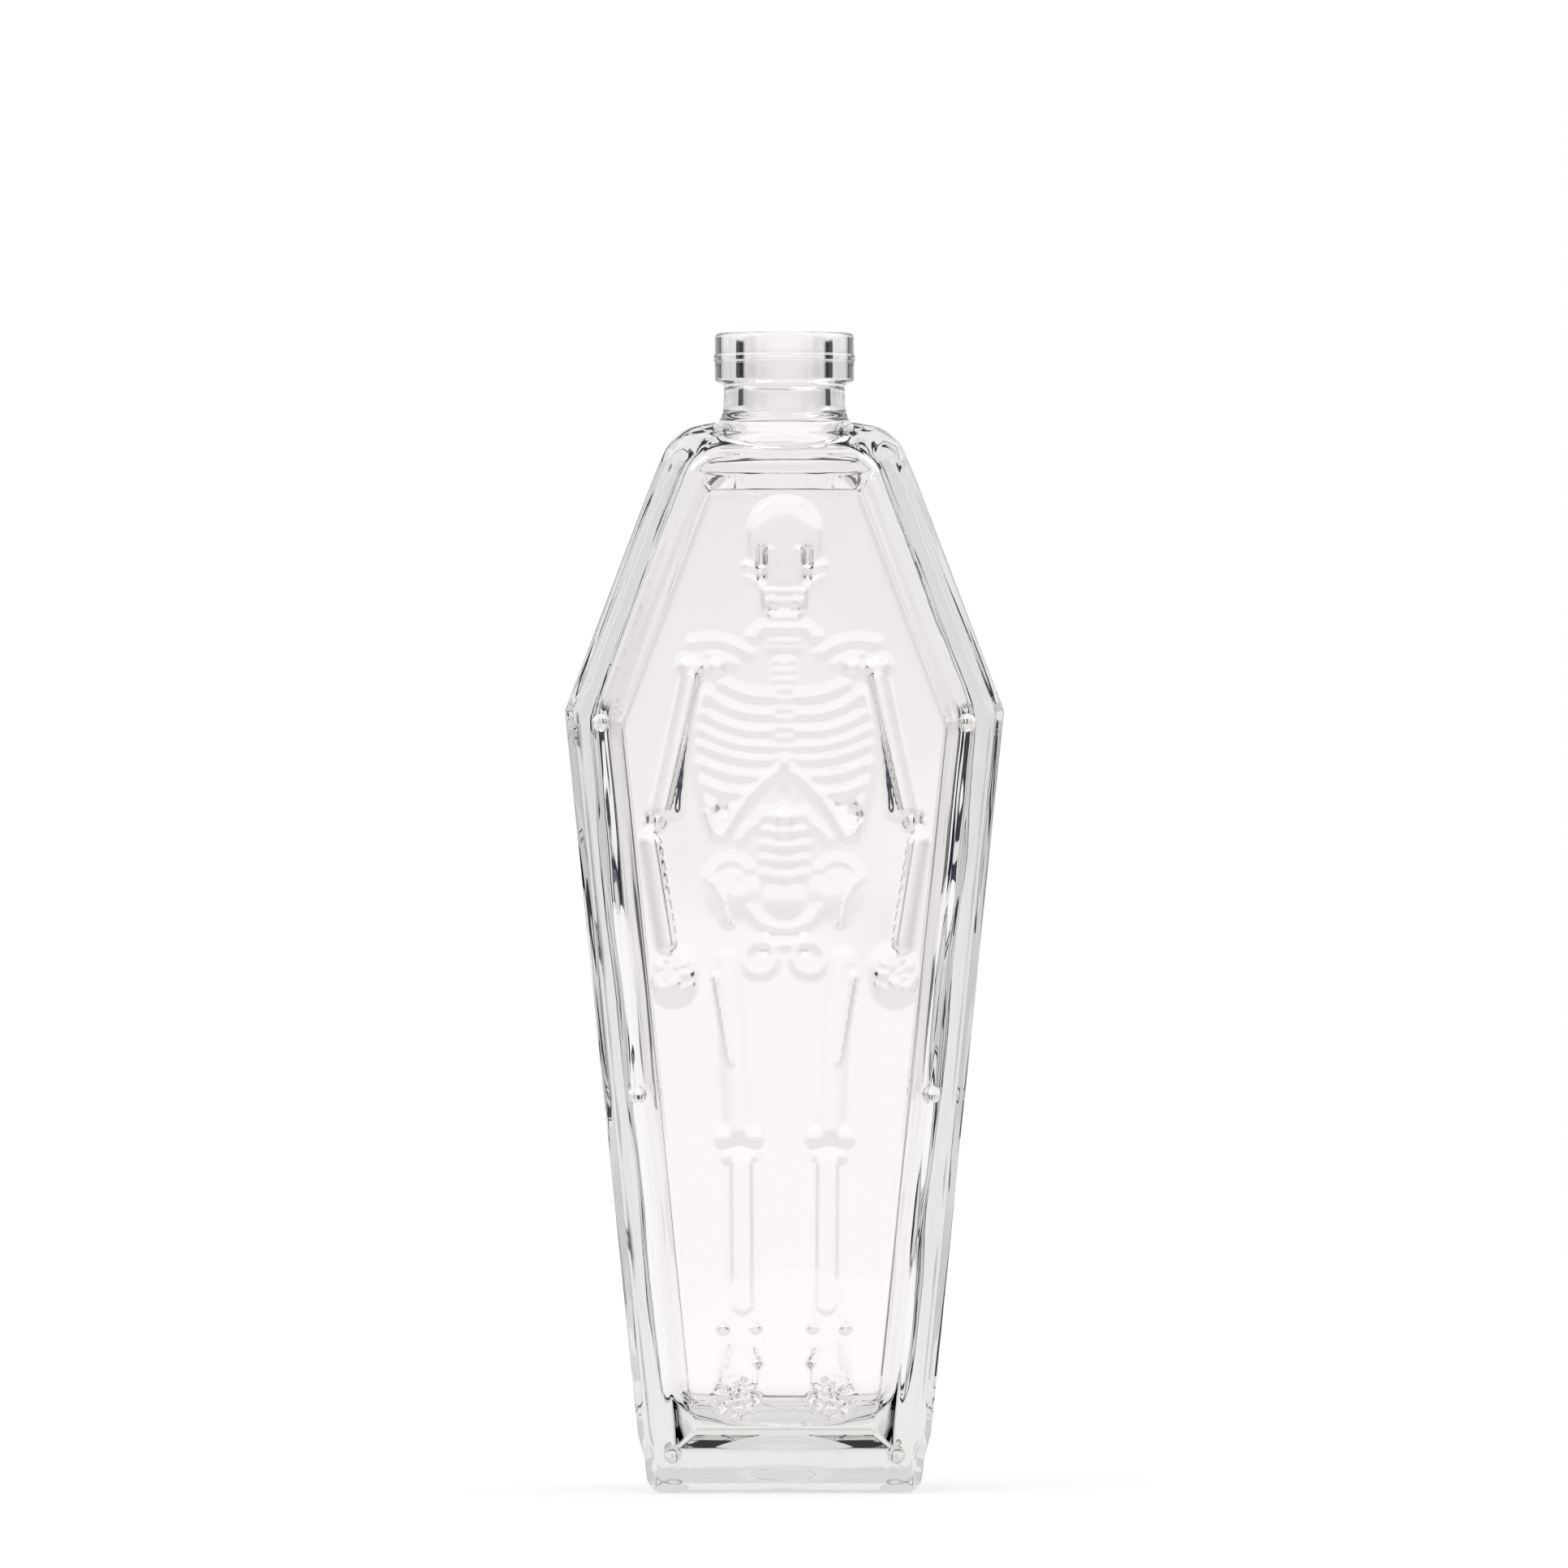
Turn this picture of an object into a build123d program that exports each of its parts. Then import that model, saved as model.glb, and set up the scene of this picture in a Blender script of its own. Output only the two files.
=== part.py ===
from build123d import *
import math
import os

# Clear glass bottle in the outline of a coffin, with a skeleton in low relief on the front.
# Millimetres, +Z up, front towards -Y, origin in the middle of the resting face.
# The glass is divided where the mould divides it: mouth, neck, shoulder, rails, panels, walls, base.
# Left and right are as seen from the front, so left is -X.

# Coffin outline of the body, seen from the front
body_height = 236.0  # resting face to the top of the shoulder
body_depth = 48.0
shoulder_half = 24.2  # half-width that the slanted sides reach at body_height
widest_half = 48.4
widest_height = 172.2
foot_half = 31.0  # half-width that the tapered sides reach at the resting face

# Walls
side_wall = 5.0
panel_wall = 4.3
corner_width = 1.9  # bevel along the body's long corners, across the front
corner_depth = 3.5  # the same bevel, along the side

# Shoulder and base
shoulder_drop = 7.8  # top of the shoulder down to the tops of the rails
shoulder_radius = 5.8
base_height = 8.0
heel_half = 30.9  # half-width of the base at its top
heel_draft = 1.1  # narrowing of the base down to the resting face
heel_radius = 4.2
side_end_height = 12.3  # where the side walls start to slope in to the base
push_up_width = 40.0
push_up_depth = 24.0
push_up_rise = 2.2
push_up_corner = 7.0

# Neck and mouth
neck_height = 8.4
neck_radius = 13.45
neck_foot_flare = 2.2
neck_foot_height = 4.5
neck_foot_shares = (0.28, 0.36)  # middle of the foot's curve, across and up
bore_radius = 9.25
bore_flare_height = 6.0  # top of the shoulder up to where the bore turns straight
throat_radius = 11.5
cavity_mouth_radius = 15.0
ring_height = 11.6
ring_radius = 15.5
ring_underside_rise = 1.5
bead_height = 1.3
bead_proud = 0.2
bead_drop = 5.5  # mouth down to the middle of the bead
lip_outer_radius = 0.9
lip_inner_radius = 1.2
mould_dot_radius = 1.0
mould_dot_proud = 0.3
mould_dot_height = 6.2  # above the shoulder

# Coffin-shaped recess in the front and in the back, each edge at its own distance from the outline
recess_depth = 3.0
recess_top_inset = 11.4
recess_upper_inset = 8.2
recess_lower_inset = 7.8
recess_bottom_inset = 9.4
bevel_top = 3.9
bevel_upper = 4.8
bevel_lower = 4.6
bevel_bottom = 3.8

# Nail heads on the rails, at the inner edge of the flat
stud_radius = 2.0
stud_rise = 1.5
stud_shift = 0.5  # from the recess's edge outwards
stud_mid_drop = 84.5  # from the widest height down to the middle pair
stud_bottom_drop = 0.9  # from the recess's bottom edge down to the lowest pair

# Overrun of every cut
overrun = 4.0

# Skeleton in relief on the front recess's floor. A place is a share of the floor's half-width at
# that height and a share of its height from the bottom edge. A girth is a share of the floor's
# greatest half-width, and a rise or a depth a share of the recess's depth.
shaft_share = 0.85  # girth of a bone's shaft at its ends, of the swollen end
waist_share = 0.35  # where a long bone's slender middle begins, of its length
# Bones on the middle line: kind, places, girths, and a count where there is a row.
middle_shares = {
    "skull": [
        ("cap", (0, 0.956), 0.24, 0.85),
        ("cap", (0, 0.914), 0.168, 0.8),
        ("row", (-0.108, 0.891), (0.108, 0.891), 0.021, 7),
        ("hollow", (0, 0.911), 0.032, 0.3, 0.75),
    ],
    "jaw": [
        ("hoop", (-0.2, 0.894), (0, 0.8665), (0.2, 0.894), 0.032),
        ("row", (-0.108, 0.881), (0.108, 0.881), 0.02, 7),
    ],
    "breastbone": [
        ("bar", (0, 0.816), (0, 0.71), 0.026),
        ("bone", (0, 0.712), (0, 0.688), 0.036, 0.02, 0.022),
        ("ladder", 0.035, 0.819, 0.707, 0.025, 12),
    ],
    "neck_bones": [
        ("hoop", (-0.25, 0.845), (0, 0.86), (0.25, 0.845), 0.026),
        ("ladder", 0.09, 0.849, 0.832, 0.023, 3),
    ],
    "loin_bones": [
        ("row", (0, 0.652), (0, 0.59), 0.062, 5),
        ("hoop", (-0.12, 0.655), (0, 0.652), (0.12, 0.655), 0.032),
        ("hoop", (-0.12, 0.6395), (0, 0.6365), (0.12, 0.6395), 0.032),
        ("hoop", (-0.12, 0.624), (0, 0.621), (0.12, 0.624), 0.032),
        ("hoop", (-0.12, 0.6085), (0, 0.6055), (0.12, 0.6085), 0.032),
        ("hoop", (-0.12, 0.593), (0, 0.59), (0.12, 0.593), 0.032),
    ],
    "pelvis": [
        ("cap", (0, 0.5655), 0.115, 0.7),
        ("hoop", (-0.25, 0.556), (0, 0.5335), (0.25, 0.556), 0.036),
        ("bar", (-0.12, 0.5175), (0.12, 0.5175), 0.031),
    ],
}
# Bones of the right side, with a mirror image on the left.
paired_shares = {
    "skull": [
        ("bar", (0.168, 0.904), (0.38, 0.916), 0.028),
        ("bar", (0.08, 0.9455), (0.3, 0.9445), 0.05),
        ("hollow", (0.165, 0.93), 0.066, 0.42, 0.62),
    ],
    "pelvis": [
        ("cap", (0.36, 0.574), 0.165, 0.55),
        ("hoop", (0.25, 0.598), (0.4, 0.606), (0.51, 0.589), 0.032),
        ("bar", (0.505, 0.588), (0.41, 0.545), 0.028),
        ("ring", (0.183, 0.5037), 0.095, 0.03),
        ("hollow", (0.3, 0.585), 0.08, 0.3, 0.55),
    ],
    "collar": [
        ("hoop", (0.7, 0.838), (0.49, 0.8395), (0.27, 0.827), 0.026),
        ("hoop", (0.57, 0.826), (0.47, 0.8235), (0.36, 0.815), 0.018),
        ("knob", (0.484, 0.813), 0.05),
    ],
    "rib_cage": [
        ("hoop", (0.09, 0.781), (0.25, 0.7835), (0.42, 0.795), 0.024),
        ("hoop", (0.09, 0.7625), (0.3, 0.766), (0.52, 0.7845), 0.024),
        ("hoop", (0.09, 0.7445), (0.3, 0.7475), (0.525, 0.765), 0.024),
        ("hoop", (0.09, 0.728), (0.3, 0.731), (0.525, 0.747), 0.024),
        ("hoop", (0.1, 0.7135), (0.3, 0.7165), (0.53, 0.73), 0.024),
        ("hoop", (0.16, 0.697), (0.35, 0.699), (0.53, 0.711), 0.024),
        ("hoop", (0.25, 0.679), (0.4, 0.6805), (0.52, 0.6905), 0.024),
        ("hoop", (0.33, 0.661), (0.42, 0.6615), (0.5, 0.668), 0.024),
        ("hoop", (0.525, 0.786), (0.547, 0.738), (0.5, 0.665), 0.028),
        ("hoop", (0.503, 0.667), (0.485, 0.65), (0.455, 0.636), 0.027),
        ("hoop", (0.06, 0.7), (0.235, 0.6745), (0.4, 0.636), 0.031),
        ("hoop", (0.1, 0.652), (0.19, 0.646), (0.29, 0.629), 0.02),
    ],
    "upper_arm": [
        ("bone", (0.63, 0.812), (0.738, 0.662), 0.05, 0.036, 0.05),
        ("knob", (0.684, 0.8135), 0.058),
    ],
    "forearm": [
        ("bar", (0.74, 0.6555), (0.88, 0.6495), 0.048),
        ("bone", (0.905, 0.65), (0.87, 0.517), 0.032, 0.022, 0.03),
        ("bone", (0.815, 0.65), (0.785, 0.517), 0.036, 0.026, 0.038),
    ],
    "hand": [
        ("cap", (0.82, 0.4985), 0.11, 0.65),
        ("bone", (0.7, 0.4835), (0.704, 0.461), 0.034, 0.023, 0.03),
        ("bone", (0.773, 0.4775), (0.777, 0.455), 0.034, 0.023, 0.03),
        ("bone", (0.846, 0.4795), (0.85, 0.457), 0.034, 0.023, 0.03),
        ("bone", (0.919, 0.4875), (0.923, 0.465), 0.034, 0.023, 0.03),
        ("bone", (0.72, 0.508), (0.645, 0.479), 0.03, 0.021, 0.028),
    ],
    "thigh": [
        ("bar", (0.39, 0.5275), (0.57, 0.5225), 0.046),
        ("bone", (0.475, 0.519), (0.355, 0.309), 0.066, 0.047, 0.072),
        ("knob", (0.59, 0.5185), 0.056),
    ],
    "knee": [
        ("cap", (0.355, 0.3075), 0.085, 0.8),
        ("knob", (0.27, 0.319), 0.058),
        ("knob", (0.44, 0.319), 0.058),
        ("knob", (0.27, 0.295), 0.058),
        ("knob", (0.44, 0.295), 0.058),
        ("knob", (0.57, 0.2935), 0.028),
    ],
    "shin": [
        ("bone", (0.345, 0.287), (0.385, 0.107), 0.072, 0.043, 0.062),
        ("bone", (0.51, 0.288), (0.575, 0.107), 0.03, 0.02, 0.034),
        ("knob", (0.605, 0.1115), 0.04),
        ("knob", (0.285, 0.1135), 0.036),
    ],
    "foot": [
        ("cap", (0.44, 0.078), 0.13, 0.8),
        ("knob", (0.29, 0.0752), 0.034),
        ("bone", (0.31, 0.062), (0.32, 0.024), 0.034, 0.023, 0.032),
        ("bone", (0.385, 0.062), (0.428, 0.026), 0.034, 0.023, 0.032),
        ("bone", (0.46, 0.062), (0.536, 0.028), 0.034, 0.023, 0.032),
        ("bone", (0.535, 0.062), (0.644, 0.03), 0.034, 0.023, 0.032),
        ("bone", (0.61, 0.062), (0.752, 0.032), 0.034, 0.023, 0.032),
        ("row", (0.325, 0.0165), (0.757, 0.0265), 0.031, 5),
    ],
}

half_depth = body_depth / 2
rail_top = body_height - shoulder_drop
neck_top = body_height + neck_height
total_height = neck_top + ring_height
face_depth = half_depth - recess_depth
core_depth = face_depth - panel_wall
upper_lean = math.atan((widest_half - shoulder_half) / (body_height - widest_height))
lower_lean = math.atan((widest_half - foot_half) / widest_height)


def upper_half(height, inset):
    """Half-width at a height on a line parallel to the slanted upper sides."""
    run = (height - widest_height) * math.tan(upper_lean)
    return widest_half - run - inset / math.cos(upper_lean)


def lower_half(height, inset):
    """Half-width at a height on a line parallel to the tapered lower sides."""
    run = (widest_height - height) * math.tan(lower_lean)
    return widest_half - run - inset / math.cos(lower_lean)


def widest_corner(upper_inset, lower_inset):
    """Corner where the inset upper and lower lines meet."""
    gap = lower_inset / math.cos(lower_lean) - upper_inset / math.cos(upper_lean)
    height = widest_height + gap / (math.tan(upper_lean) + math.tan(lower_lean))
    return (upper_half(height, upper_inset), height)


def coffin(top, upper, lower, bottom):
    """Right-hand corners of the coffin outline, each edge moved in by its own distance."""
    top_height = body_height - top
    return [
        (upper_half(top_height, upper), top_height),
        widest_corner(upper, lower),
        (lower_half(bottom, lower), bottom),
    ]


def recess_corners(depth):
    """Right-hand corners of the recess at a depth below the front of the rails."""
    share = depth / recess_depth
    return coffin(
        recess_top_inset + bevel_top * share,
        recess_upper_inset + bevel_upper * share,
        recess_lower_inset + bevel_lower * share,
        recess_bottom_inset + bevel_bottom * share,
    )


def closed_outline(right_points):
    """The right-hand points with their mirror image on the left."""
    return right_points + [(-across, height) for across, height in reversed(right_points)]


def face_at(points, depth):
    """A flat outline standing across the bottle, depth millimetres in front of the middle."""
    plane = Plane(origin=(0, -depth, 0), x_dir=(1, 0, 0), z_dir=(0, -1, 0))
    return plane * make_face(Polyline(*points, close=True))


def upright_slab(points, back, front):
    """A slab with the given outline, from one depth to the other."""
    return extrude(face_at(points, back), amount=front - back)


outer_corners = [
    (upper_half(rail_top, 0), rail_top),
    widest_corner(0, 0),
    (lower_half(side_end_height, 0), side_end_height),
    (heel_half, base_height),
]
edge_corners = recess_corners(0)
floor_corners = recess_corners(recess_depth)
cavity_corners = [
    (upper_half(rail_top, side_wall), rail_top),
    widest_corner(side_wall, side_wall),
    (lower_half(base_height, side_wall), base_height),
]
floor_bottom = floor_corners[-1][1]
floor_top = floor_corners[0][1]
floor_half = floor_corners[1][0]


def body_envelope():
    """The body from the base to the rail tops, with its four long corners bevelled."""
    narrow = [(across - corner_width, height) for across, height in outer_corners]
    sections = [
        face_at(closed_outline(narrow), half_depth),
        face_at(closed_outline(outer_corners), half_depth - corner_depth),
        face_at(closed_outline(outer_corners), corner_depth - half_depth),
        face_at(closed_outline(narrow), -half_depth),
    ]
    return loft(sections, ruled=True)


def recess_cut():
    """The bevelled hollow that the front panel lies in."""
    return loft(
        [
            face_at(closed_outline(recess_corners(-overrun)), half_depth + overrun),
            face_at(closed_outline(floor_corners), face_depth),
        ],
        ruled=True,
    )


def mitred(points, index):
    """The corners along one mitre line, from the recess floor out to the side of the body."""
    return [floor_corners[index], edge_corners[index], points]


def flipped(points):
    """The same points on the left side."""
    return [(-across, height) for across, height in points]


def rail_outlines():
    """Mitred outline of each of the six rails round the recess."""
    top = mitred(outer_corners[0], 0)
    widest = mitred(outer_corners[1], 1)
    bottom = mitred(outer_corners[3], 2)
    upper = top + widest[::-1]
    lower = widest + [outer_corners[2]] + bottom[::-1]
    return {
        "rail_top": flipped(top) + top[::-1],
        "rail_upper_right": upper,
        "rail_upper_left": flipped(upper),
        "rail_lower_right": lower,
        "rail_lower_left": flipped(lower),
        "rail_bottom": flipped(bottom) + bottom[::-1],
    }


def rails(envelope, hollow):
    """The six front rails: a flat, a bevelled long corner and a bevel down to the panel."""
    return {
        name: (upright_slab(points, core_depth, half_depth) & envelope) - hollow
        for name, points in rail_outlines().items()
    }


def panel():
    """The flat floor of the front recess."""
    return upright_slab(closed_outline(floor_corners), core_depth, face_depth)


def side_walls():
    """The four walls between the front and the back rails."""
    upper = [outer_corners[0], outer_corners[1], cavity_corners[1], cavity_corners[0]]
    lower = outer_corners[1:] + [cavity_corners[2], cavity_corners[1]]
    outlines = {
        "side_wall_upper_right": upper,
        "side_wall_upper_left": flipped(upper),
        "side_wall_lower_right": lower,
        "side_wall_lower_left": flipped(lower),
    }
    return {
        name: upright_slab(points, -core_depth, core_depth) for name, points in outlines.items()
    }


def level_section(half_width, height):
    """The body's cross-section at a height, a rectangle with bevelled corners."""
    side_depth = half_depth - corner_depth
    front_half = half_width - corner_width
    corner = [(half_width, side_depth), (front_half, half_depth)]
    right = [(half_width, -side_depth)] + corner
    points = [(front_half, -half_depth)] + right
    points += [(-across, depth) for across, depth in reversed(points)]
    return Plane.XY.offset(height) * make_face(Polyline(*points, close=True))


def shoulder():
    """The rounded top of the body, with the funnel up into the neck."""
    low_half = upper_half(rail_top, 0)
    bevelled = loft(
        [level_section(low_half, rail_top), level_section(shoulder_half, body_height)],
        ruled=True,
    )
    square = loft(
        [
            Plane.XY.offset(rail_top) * Rectangle(2 * low_half, body_depth),
            Plane.XY.offset(body_height) * Rectangle(2 * shoulder_half, body_depth),
        ],
        ruled=True,
    )
    rounded = fillet(square.edges().group_by(Axis.Z)[-1], shoulder_radius)
    seat = (Align.CENTER, Align.CENTER, Align.MIN)
    funnel = Cone(cavity_mouth_radius, throat_radius, shoulder_drop, align=seat)
    return (rounded & bevelled) - Pos(0, 0, rail_top) * funnel


def base():
    """The thick base with its rounded heel and the push-up in the resting face."""
    block = loft(
        [level_section(heel_half - heel_draft, 0), level_section(heel_half, base_height)],
        ruled=True,
    )
    block = fillet(block.edges().group_by(Axis.Z)[0], heel_radius)
    print_face = RectangleRounded(push_up_width, push_up_depth, push_up_corner)
    return block - extrude(print_face, amount=push_up_rise, taper=45)


def turned(outline):
    """A ring of glass with the given outline, turned about the neck's axis."""
    return revolve(Plane.XZ * make_face(outline), axis=Axis.Z)


def neck():
    """The round neck, flared at its foot outside and at its throat inside."""
    foot_radius = neck_radius + neck_foot_flare
    foot_top = body_height + neck_foot_height
    across_share, up_share = neck_foot_shares
    foot_middle = (
        neck_radius + neck_foot_flare * across_share,
        body_height + neck_foot_height * up_share,
    )
    foot = ThreePointArc((foot_radius, body_height), foot_middle, (neck_radius, foot_top))
    rest = Polyline(
        (neck_radius, foot_top),
        (neck_radius, neck_top),
        (bore_radius, neck_top),
        (bore_radius, body_height + bore_flare_height),
        (throat_radius, body_height),
        (foot_radius, body_height),
    )
    return turned(Curve() + [foot, rest])


def mouth_ring():
    """The cork finish: a collar with a bead round it and rounded lips."""
    bead_middle = total_height - bead_drop
    bead_low = (ring_radius, bead_middle - bead_height / 2)
    bead_high = (ring_radius, bead_middle + bead_height / 2)
    lip_out = (ring_radius, total_height - lip_outer_radius)
    lip_top_out = (ring_radius - lip_outer_radius, total_height)
    lip_top_in = (bore_radius + lip_inner_radius, total_height)
    lip_in = (bore_radius, total_height - lip_inner_radius)
    underside = Polyline(
        lip_in,
        (bore_radius, neck_top),
        (neck_radius, neck_top),
        (ring_radius, neck_top + ring_underside_rise),
        bead_low,
    )
    bead = ThreePointArc(bead_low, (ring_radius + bead_proud, bead_middle), bead_high)
    outer_lip = RadiusArc(lip_out, lip_top_out, -lip_outer_radius)
    inner_lip = RadiusArc(lip_top_in, lip_in, -lip_inner_radius)
    edges = [underside, bead, Line(bead_high, lip_out), outer_lip, Line(lip_top_out, lip_top_in), inner_lip]
    return turned(Curve() + edges)


def mould_dot():
    """A plain round boss on the front of the neck."""
    reach = neck_radius + mould_dot_proud
    plane = Plane(origin=(0, 0, body_height + mould_dot_height), x_dir=(1, 0, 0), z_dir=(0, -1, 0))
    boss = extrude(plane * Circle(mould_dot_radius), amount=reach)
    return boss - Cylinder(neck_radius, total_height + body_height)


def studs(neighbours):
    """Six nail heads, seated on the rails and the base that they straddle."""
    ball_radius = (stud_radius**2 + stud_rise**2) / (2 * stud_rise)
    centre_depth = half_depth + stud_rise - ball_radius
    mid_height = widest_height - stud_mid_drop
    bottom_height = recess_bottom_inset - stud_bottom_drop
    widest_across, widest_up = edge_corners[1]
    places = [
        (widest_across + stud_shift, widest_up),
        (lower_half(mid_height, recess_lower_inset) + stud_shift, mid_height),
        (lower_half(bottom_height, recess_lower_inset) + stud_shift, bottom_height),
    ]
    heads = [
        Pos(side * across, -centre_depth, height) * Sphere(ball_radius)
        for across, height in places
        for side in (-1, 1)
    ]
    for neighbour in neighbours:
        heads = [head - neighbour for head in heads]
    return Compound(children=heads)


def place(shares):
    """A point on the recess floor, as across and up in millimetres."""
    across_share, up_share = shares
    height = floor_bottom + up_share * (floor_top - floor_bottom)
    upper = upper_half(height, recess_upper_inset + bevel_upper)
    lower = lower_half(height, recess_lower_inset + bevel_lower)
    return Vector(across_share * min(upper, lower), height)


def girth(share):
    """A radius in millimetres from a share of the floor's greatest half-width."""
    return share * floor_half


def knob(middle, girth_share):
    """A ball centred on the floor."""
    return [Pos(*place(middle)) * Sphere(girth(girth_share))]


def cap(middle, girth_share, rise_share):
    """A shallow dome, given by its radius on the floor and its rise."""
    radius = girth(girth_share)
    rise = recess_depth * rise_share
    ball_radius = (radius**2 + rise**2) / (2 * rise)
    centre = place(middle)
    return [Pos(centre.X, centre.Y, rise - ball_radius) * Sphere(ball_radius)]


def hollow(middle, girth_share, depth_share, rim_share):
    """A shallow dish to cut, given by its radius, its depth and the height of its rim."""
    radius = girth(girth_share)
    depth = recess_depth * depth_share
    ball_radius = (radius**2 + depth**2) / (2 * depth)
    ball_height = recess_depth * rim_share + ball_radius - depth
    centre = place(middle)
    return [Pos(centre.X, centre.Y, ball_height) * Sphere(ball_radius)]


def laid(start, end, outline):
    """A round with the given half outline, turned about the line from one point to another."""
    turn = math.degrees(math.atan2(end.Y - start.Y, end.X - start.X))
    return Pos(*start) * Rot(0, 0, turn) * revolve(make_face(outline), Axis.X)


def bone(first, last, first_share, waist_girth_share, last_share):
    """A long bone with swollen ends and a slender waist."""
    start = place(first)
    end = place(last)
    length = (end - start).length
    start_radius = girth(first_share)
    end_radius = girth(last_share)
    waist = girth(waist_girth_share)
    outline = Polyline(
        (0, 0),
        (0, start_radius * shaft_share),
        (length * waist_share, waist),
        (length * (1 - waist_share), waist),
        (length, end_radius * shaft_share),
        (length, 0),
        close=True,
    )
    knobs = [Pos(*start) * Sphere(start_radius), Pos(*end) * Sphere(end_radius)]
    return [laid(start, end, outline), *knobs]


def bar(first, last, girth_share):
    """A bar of one girth with swollen round ends."""
    start = place(first)
    end = place(last)
    radius = girth(girth_share)
    shaft = radius * shaft_share
    length = (end - start).length
    outline = Polyline((0, 0), (0, shaft), (length, shaft), (length, 0), close=True)
    knobs = [Pos(*start) * Sphere(radius), Pos(*end) * Sphere(radius)]
    return [laid(start, end, outline), *knobs]


def hoop(first, middle, last, girth_share):
    """A bone bent along the arc through three places, with swollen round ends."""
    radius = girth(girth_share)
    path = ThreePointArc(place(first), place(middle), place(last))
    section = Plane(origin=path @ 0, z_dir=path % 0) * Circle(radius * shaft_share)
    knobs = [Pos(*(path @ end)) * Sphere(radius) for end in (0, 1)]
    return [sweep(section, path=path), *knobs]


def ring(middle, girth_share, bar_share):
    """A round ring lying on the floor."""
    return [Pos(*place(middle)) * Torus(girth(girth_share), girth(bar_share))]


def row(first, last, girth_share, count):
    """Balls evenly spaced between two places."""
    steps = [index / (count - 1) for index in range(count)]
    middles = [[near + (far - near) * step for near, far in zip(first, last)] for step in steps]
    return [solid for middle in middles for solid in knob(middle, girth_share)]


def ladder(half_share, top_share, bottom_share, girth_share, count):
    """Level bars across the middle line, evenly spaced from top to bottom."""
    solids = []
    for index in range(count):
        up_share = top_share + (bottom_share - top_share) * index / (count - 1)
        solids += bar((-half_share, up_share), (half_share, up_share), girth_share)
    return solids


shape_makers = {
    "knob": knob,
    "cap": cap,
    "bone": bone,
    "bar": bar,
    "hoop": hoop,
    "ring": ring,
    "row": row,
    "ladder": ladder,
}


def on_floor(solids):
    """The solids moved from the drawing plane onto the recess floor."""
    plane = Plane(origin=(0, -face_depth, 0), x_dir=(1, 0, 0), z_dir=(0, -1, 0))
    return [plane.location * solid for solid in solids]


def rounds(entries):
    """What stands above the floor of a table's entries, joined, less their hollows."""
    room = upright_slab(closed_outline(floor_corners), face_depth, half_depth)
    solids = []
    hollows = []
    for kind, *sizes in entries:
        if kind == "hollow":
            hollows += on_floor(hollow(*sizes))
        else:
            solids += [solid & room for solid in on_floor(shape_makers[kind](*sizes))]
    joined = Part() + solids
    return joined - hollows if hollows else joined


def flipped_sizes(size):
    """A place moved to the left side; any other size stays as it is."""
    return (-size[0], size[1]) if isinstance(size, tuple) else size


def middle_group(name):
    """A group on the middle line: its own entries and both sides of its paired ones."""
    right = paired_shares.get(name, [])
    left = [(kind, *[flipped_sizes(size) for size in sizes]) for kind, *sizes in right]
    return rounds(middle_shares[name] + right + left)


def less_neighbours(solid, others):
    """A solid less those of the others whose boxes overlap its own."""
    box = solid.bounding_box()
    for other in others:
        other_box = other.bounding_box()
        apart_across = box.min.X > other_box.max.X or other_box.min.X > box.max.X
        apart_up = box.min.Z > other_box.max.Z or other_box.min.Z > box.max.Z
        if not (apart_across or apart_up):
            solid = solid - other
    return solid


def skeleton():
    """Every group of bones by name. Each gives way to the groups before it that it touches."""
    side_names = [name for name in paired_shares if name not in middle_shares]
    whole = {}
    for name in [*middle_shares, *side_names]:
        solid = middle_group(name) if name in middle_shares else rounds(paired_shares[name])
        whole[name] = less_neighbours(solid, whole.values())
    bones = {}
    for name, solid in whole.items():
        if name in middle_shares:
            bones[name] = solid
        else:
            bones[f"{name}_right"] = solid
            bones[f"{name}_left"] = mirror(solid, about=Plane.YZ)
    return bones


def all_parts():
    """Every node of the bottle by name."""
    envelope = body_envelope()
    front = {"panel": panel(), **rails(envelope, recess_cut())}
    base_block = base()
    front_studs = studs([*front.values(), base_block])
    parts = {
        "mouth_ring": mouth_ring(),
        "neck": neck(),
        "mould_dot": mould_dot(),
        "shoulder": shoulder(),
        "base": base_block,
        "front_studs": front_studs,
        "back_studs": mirror(front_studs, about=Plane.XZ),
        **side_walls(),
    }
    for name, part in front.items():
        parts[f"front_{name}"] = part
        parts[f"back_{name}"] = mirror(part, about=Plane.XZ)
    parts.update(skeleton())
    return parts


def main():
    os.makedirs("parts", exist_ok=True)
    for name, part in all_parts().items():
        export_step(part, f"parts/{name}.step")


main()
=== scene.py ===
"""Looks of a clear pressed-glass bottle in the outline of a coffin, with a skeleton in relief."""

import math

import bmesh
import bpy
from mathutils import Matrix, Vector, noise
from mathutils.bvhtree import BVHTree


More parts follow.
